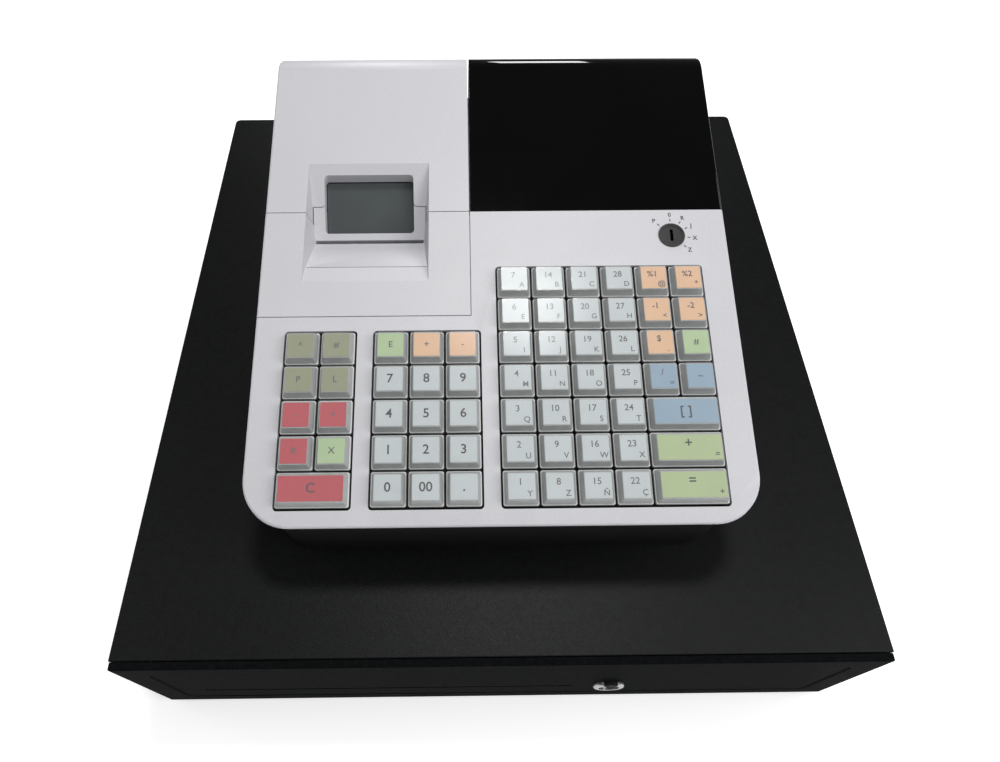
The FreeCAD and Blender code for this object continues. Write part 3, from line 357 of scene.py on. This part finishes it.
# Each key: columns, row from the front, label colour, main mark, small mark.
KEYS = {"keys_department_%d" % (c + 1): department_keys(c) for c in range(4)}
for digit in range(1, 10):
    KEYS["key_%d" % digit] = [((MIDDLE[(digit - 1) % 3],), 1 + (digit - 1) // 3, "white",
                               str(digit), "")]
KEYS.update({
    "key_0": [((-6,), 0, "white", "0", "")],
    "key_00": [((-4,), 0, "white", "00", "")],
    "key_point": [((-2,), 0, "white", ".", "")],
    "key_clear": [(LEFT, 0, "red", "C", "")],
    "key_card": [((9, 11), 2, "blue", "[ ]", "")],
    "key_subtotal": [((9, 11), 1, "green", "+", "=")],
    "key_total": [((9, 11), 0, "green", "=", "+")],
    "keys_left_functions": [
        ((-11,), 4, "olive", "^", ""), ((-9,), 4, "olive", "#", ""),
        ((-11,), 3, "olive", "P", ""), ((-9,), 3, "olive", "L", ""),
        ((-11,), 2, "red", "-", ""), ((-9,), 2, "red", "<", ""),
        ((-11,), 1, "red", "R", ""), ((-9,), 1, "light_green", "X", "")],
    "keys_over_digits": [((-6,), 4, "light_green", "E", ""), ((-4,), 4, "orange", "+", ""),
                         ((-2,), 4, "orange", "-", "")],
    "keys_right_functions": [
        ((9,), 6, "orange", "%1", "@"), ((11,), 6, "orange", "%2", "*"),
        ((9,), 5, "orange", "-1", "<"), ((11,), 5, "orange", "-2", ">"),
        ((9,), 4, "orange", "$", "."), ((11,), 4, "light_green", "#", ""),
        ((9,), 3, "blue", "/", "="), ((11,), 3, "blue", "~", "")],
})

BODY_OF = {n: b for b, ns in frame["record"]["behaviour"]["bodies"].items() for n in ns}


def make_key_node(node, keys):
    """Core with its labels, clear cap and printed marks for the keys of one node."""
    bm_core, bm_cap = bmesh.new(), bmesh.new()
    colours = sorted({k[2] for k in keys})
    marks = []
    for columns, row, colour, main, small in keys:
        x, s = build_key(bm_core, bm_cap, columns, row, FIRST_LABEL_SLOT + colours.index(colour))
        wide = len(columns) > 1
        size = MARK_LARGE if wide or node.startswith("key_") else MARK_MEDIUM
        left, up = (0.6, 2.0) if small else (0, 0)
        n = LABEL_N[1] + MARK_LIFT
        marks.append(lettering(main, x - left, s + up, n, size))
        if small:
            side = 4.0 + (PITCH / 2 if wide else 0)
            marks.append(lettering(small, x + side, s - 3.8, n, MARK_SMALL))
    body = BODY_OF[node]
    core = make_object(node + "_core", bm_core, [CORE, RIM_HIGHLIGHT] + [LABEL_MATERIALS[c] for c in colours])
    cap = make_object(node + "_cap", bm_cap, [CAP])
    for piece in (core, cap):
        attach(piece, body)
    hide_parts(node)
    ink = INK_DARK if node.startswith("key_") else INK_LIGHT if "department" in node else INK
    join_marks(node + "_marks", marks, ink, body)


for key_node, key_list in KEYS.items():
    make_key_node(key_node, key_list)


# ------------------------------------------------------------------ marks round the mode lock
MODE_MARKS = ((-45, "P"), (0, "0"), (33, "R"), (62, "J"), (98, "X"), (135, "Z"))
TEXT_RADIUS, TICK, TICK_HALF_WIDTH = 13.2, (9.0, 10.6), 0.25


def mode_marks():
    """A mark and a tick at each position of the mode lock."""
    meshes = []
    bm = bmesh.new()
    for angle, text in MODE_MARKS:
        a = math.radians(angle)
        ux, us = math.sin(a), math.cos(a)
        meshes.append(lettering(text, MODE_X + TEXT_RADIUS * ux, MODE_S + TEXT_RADIUS * us,
                                MARK_LIFT, 3.6))
        w = TICK_HALF_WIDTH
        corners = [(TICK[0], -w), (TICK[1], -w), (TICK[1], w), (TICK[0], w)]
        bm.faces.new([bm.verts.new(deck(MODE_X + r * ux + side * us, MODE_S + r * us - side * ux,
                                        MARK_LIFT)) for r, side in corners])
    ticks = bpy.data.meshes.new("ticks")
    bm.to_mesh(ticks)
    bm.free()
    join_marks("mode_lock_marks", meshes + [ticks], INK_DARK, "register")


mode_marks()


# ------------------------------------------------------------------ painted shadow strip round the paper window
RECESS_TOP, RECESS_VALLEY = (211.4, 0.0), (169.3, -18.0)
WINDOW_X, WINDOW_ALONG, WINDOW_RADIUS = (-99.2, -46.9), (5.4, 39.2), 2.2
SHADOW_STRIP_DEPTH, SHADOW_STRIP_OUT, SHADOW_STRIP_IN = 6.72, 0.8, 0.45


def window_gasket():
    """Thin black strip on the pane, just inside the edge of its opening: painted shadow of the opening's
    edge.
    """
    rise, run = RECESS_TOP[1] - RECESS_VALLEY[1], RECESS_TOP[0] - RECESS_VALLEY[0]
    length = math.hypot(rise, run)
    us, un = run / length, rise / length
    low, high = (RECESS_VALLEY[0] + us * along for along in WINDOW_ALONG)
    centre = ((WINDOW_X[0] + WINDOW_X[1]) / 2, (low + high) / 2)
    size = (WINDOW_X[1] - WINDOW_X[0], high - low)
    to_deck = DECK.inverted()
    bm = bmesh.new()
    loops = [ring(bm, centre, (size[0] + 2 * grow, size[1] + 2 * grow), 0, WINDOW_RADIUS + grow)
             for grow in (SHADOW_STRIP_OUT, -SHADOW_STRIP_IN)]
    for vert in bm.verts:
        local = to_deck @ vert.co
        along = (local.y / MM - RECESS_VALLEY[0] - un * SHADOW_STRIP_DEPTH) / us
        local.z = (RECESS_VALLEY[1] + un * along - us * SHADOW_STRIP_DEPTH) * MM
        vert.co = DECK @ local
    outer, inner = loops
    for i in range(len(outer)):
        j = (i + 1) % len(outer)
        bm.faces.new((outer[i], outer[j], inner[j], inner[i]))
    # Painted shadow: black strip standing in for the shade along the edge of the window opening
    piece = make_object("window_gasket", bm, [SHADE_BLACK])
    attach(piece, "register")


window_gasket()


# ------------------------------------------------------------------ floor, light and camera
def make_floor():
    bm = bmesh.new()
    bmesh.ops.create_grid(bm, x_segments=4, y_segments=4, size=6)
    piece = make_object("floor", bm, [FLOOR])


def area_light(name, place, target, size, power):
    data = bpy.data.lights.new(name, "AREA")
    data.shape = "RECTANGLE"
    data.size, data.size_y = size
    data.energy = power
    lamp = bpy.data.objects.new(name, data)
    lamp.location = place
    lamp.rotation_euler = (Vector(target) - Vector(place)).to_track_quat("-Z", "Y").to_euler()
    bpy.context.scene.collection.objects.link(lamp)


# Name, place, target, size in metres and power in watts.
LIGHTS = (
    ("overhead", (0.14, 0.34, 1.9), (0.0, 0.0, 0.15), (0.34, 0.24), 11.5),
    ("front_fill", (0.35, -1.3, 1.4), (0, -0.1, 0.1), (1.4, 0.9), 6),
    ("left_fill", (-1.35, 0.0, 1.3), (0, 0, 0.1), (0.9, 1.1), 4),
    ("right_fill", (1.35, -0.4, 1.4), (0, 0, 0.1), (0.9, 1.1), 16.5),
    ("rear_streak", (-0.02, 1.45, 0.87), (0.05, 0.1, 0.2), (0.39, 0.3), 6.0),
)
CAMERA_TURN = tuple(math.radians(a) for a in (31.579, 0.004, -0.667))


def make_studio():
    world = bpy.data.worlds.new("studio")
    world.use_nodes = True
    background = world.node_tree.nodes["Background"]
    background.inputs["Color"].default_value = (1, 1, 1, 1)
    background.inputs["Strength"].default_value = 0.11
    bpy.context.scene.world = world
    for light in LIGHTS:
        area_light(*light)
    camera_data = bpy.data.cameras.new("camera")
    camera_data.lens = 25.83
    camera_data.sensor_width = 36.0
    camera_data.shift_x, camera_data.shift_y = 0.0344, 0.0103
    camera_data.clip_start = 0.01
    camera = bpy.data.objects.new("camera", camera_data)
    camera.location = (-0.0200, -0.2876, 0.4915)
    camera.rotation_euler = Euler(CAMERA_TURN)
    bpy.context.scene.collection.objects.link(camera)
    bpy.context.scene.camera = camera
    bpy.context.scene.view_settings.view_transform = "Standard"


make_floor()
make_studio()
